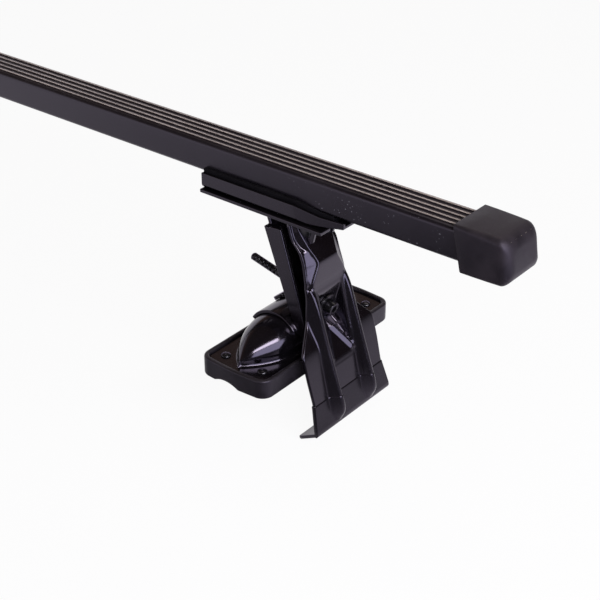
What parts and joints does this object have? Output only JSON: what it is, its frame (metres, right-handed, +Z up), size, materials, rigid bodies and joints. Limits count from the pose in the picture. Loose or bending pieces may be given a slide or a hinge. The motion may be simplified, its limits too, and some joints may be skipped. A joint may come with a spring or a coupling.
{
  "type": "roof rack",
  "caption": "Black steel roof rack bar with ribbed top, end caps and two clamp feet with rubber roof pads, hooks and clamp bolts.",
  "frame": {"origin": "under the middle of the bar, level with the lowest edge of the hooks", "axes": "+X along the bar to its right end, +Y across the bar, +Z up"},
  "size_m": [1.2, 0.1464, 0.1913],
  "materials": {
    "satin_black": "satin",
    "gloss_black": "gloss",
    "black_steel": "satin",
    "zinc": "satin",
    "cap_plastic": "matte",
    "black_liner": "matte",
    "black_sleeve": "satin",
    "black_rubber": "matte"
  },
  "bodies": {
    "bar": {"crossbar": "satin_black", "right_end_cap": "cap_plastic", "left_end_cap": "cap_plastic"},
    "right_foot": {"right_saddle": "gloss_black", "right_bar_seat": "black_liner", "right_slot_plate": "zinc", "right_saddle_screws": "zinc", "right_upright": "gloss_black", "right_pivot_pin": "black_steel", "right_nut_cradle": "black_liner"},
    "right_clamp": {"right_clamp_plate": "gloss_black", "right_hook_sleeve": "black_sleeve", "right_bolt_washer": "black_steel"},
    "right_bolt": {"right_clamp_bolt": "black_steel"},
    "right_nut": {"right_barrel_nut": "zinc"},
    "right_pad": {"right_pad_carrier": "gloss_black", "right_rubber_pad": "black_rubber", "right_pad_rivets": "black_steel", "right_swivel_rivet": "black_steel"},
    "left_foot": {"left_saddle": "gloss_black", "left_bar_seat": "black_liner", "left_slot_plate": "zinc", "left_saddle_screws": "zinc", "left_upright": "gloss_black", "left_pivot_pin": "black_steel", "left_nut_cradle": "black_liner"},
    "left_clamp": {"left_clamp_plate": "gloss_black", "left_hook_sleeve": "black_sleeve", "left_bolt_washer": "black_steel"},
    "left_bolt": {"left_clamp_bolt": "black_steel"},
    "left_nut": {"left_barrel_nut": "zinc"},
    "left_pad": {"left_pad_carrier": "gloss_black", "left_rubber_pad": "black_rubber", "left_pad_rivets": "black_steel", "left_swivel_rivet": "black_steel"}
  },
  "joints": [
    {"name": "right_foot_slide", "type": "slide", "parent": "bar", "child": "right_foot", "axis": [1, 0, 0], "range_m": [-0.12, 0.05]},
    {"name": "right_pad_tilt", "type": "hinge", "parent": "right_foot", "child": "right_pad", "pos_m": [0.4235, 0, 0.06133], "axis": [0, 1, 0], "range_deg": [-2, 8]},
    {"name": "right_clamp_swing", "type": "hinge", "parent": "right_foot", "child": "right_clamp", "pos_m": [0.4395, 0, 0.14533], "axis": [0, -1, 0], "range_deg": [0, 10]},
    {"name": "right_nut_swivel", "type": "hinge", "parent": "right_foot", "child": "right_nut", "pos_m": [0.42676, 0, 0.09185], "axis": [0, -1, 0], "range_deg": [0, 10]},
    {"name": "right_bolt_spin", "type": "hinge", "parent": "right_clamp", "child": "right_bolt", "pos_m": [0.4484, 0, 0.08712], "axis": [0.9728, 0, -0.2317], "range_deg": [-2, 3440]},
    {"name": "left_foot_slide", "type": "slide", "parent": "bar", "child": "left_foot", "axis": [-1, 0, 0], "range_m": [-0.12, 0.05]},
    {"name": "left_pad_tilt", "type": "hinge", "parent": "left_foot", "child": "left_pad", "pos_m": [-0.4235, 0, 0.06133], "axis": [0, -1, 0], "range_deg": [-2, 8]},
    {"name": "left_clamp_swing", "type": "hinge", "parent": "left_foot", "child": "left_clamp", "pos_m": [-0.4395, 0, 0.14533], "axis": [0, 1, 0], "range_deg": [0, 10]},
    {"name": "left_nut_swivel", "type": "hinge", "parent": "left_foot", "child": "left_nut", "pos_m": [-0.42676, 0, 0.09185], "axis": [0, 1, 0], "range_deg": [0, 10]},
    {"name": "left_bolt_spin", "type": "hinge", "parent": "left_clamp", "child": "left_bolt", "pos_m": [-0.4484, 0, 0.08712], "axis": [-0.9728, 0, -0.2317], "range_deg": [-2, 3440]}
  ],
  "couplings": [
    {"joint": "right_nut_swivel", "follows": "right_clamp_swing", "ratio": 1},
    {"joint": "right_bolt_spin", "follows": "right_clamp_swing", "ratio": 342.79},
    {"joint": "left_nut_swivel", "follows": "left_clamp_swing", "ratio": 1},
    {"joint": "left_bolt_spin", "follows": "left_clamp_swing", "ratio": 342.79}
  ]
}
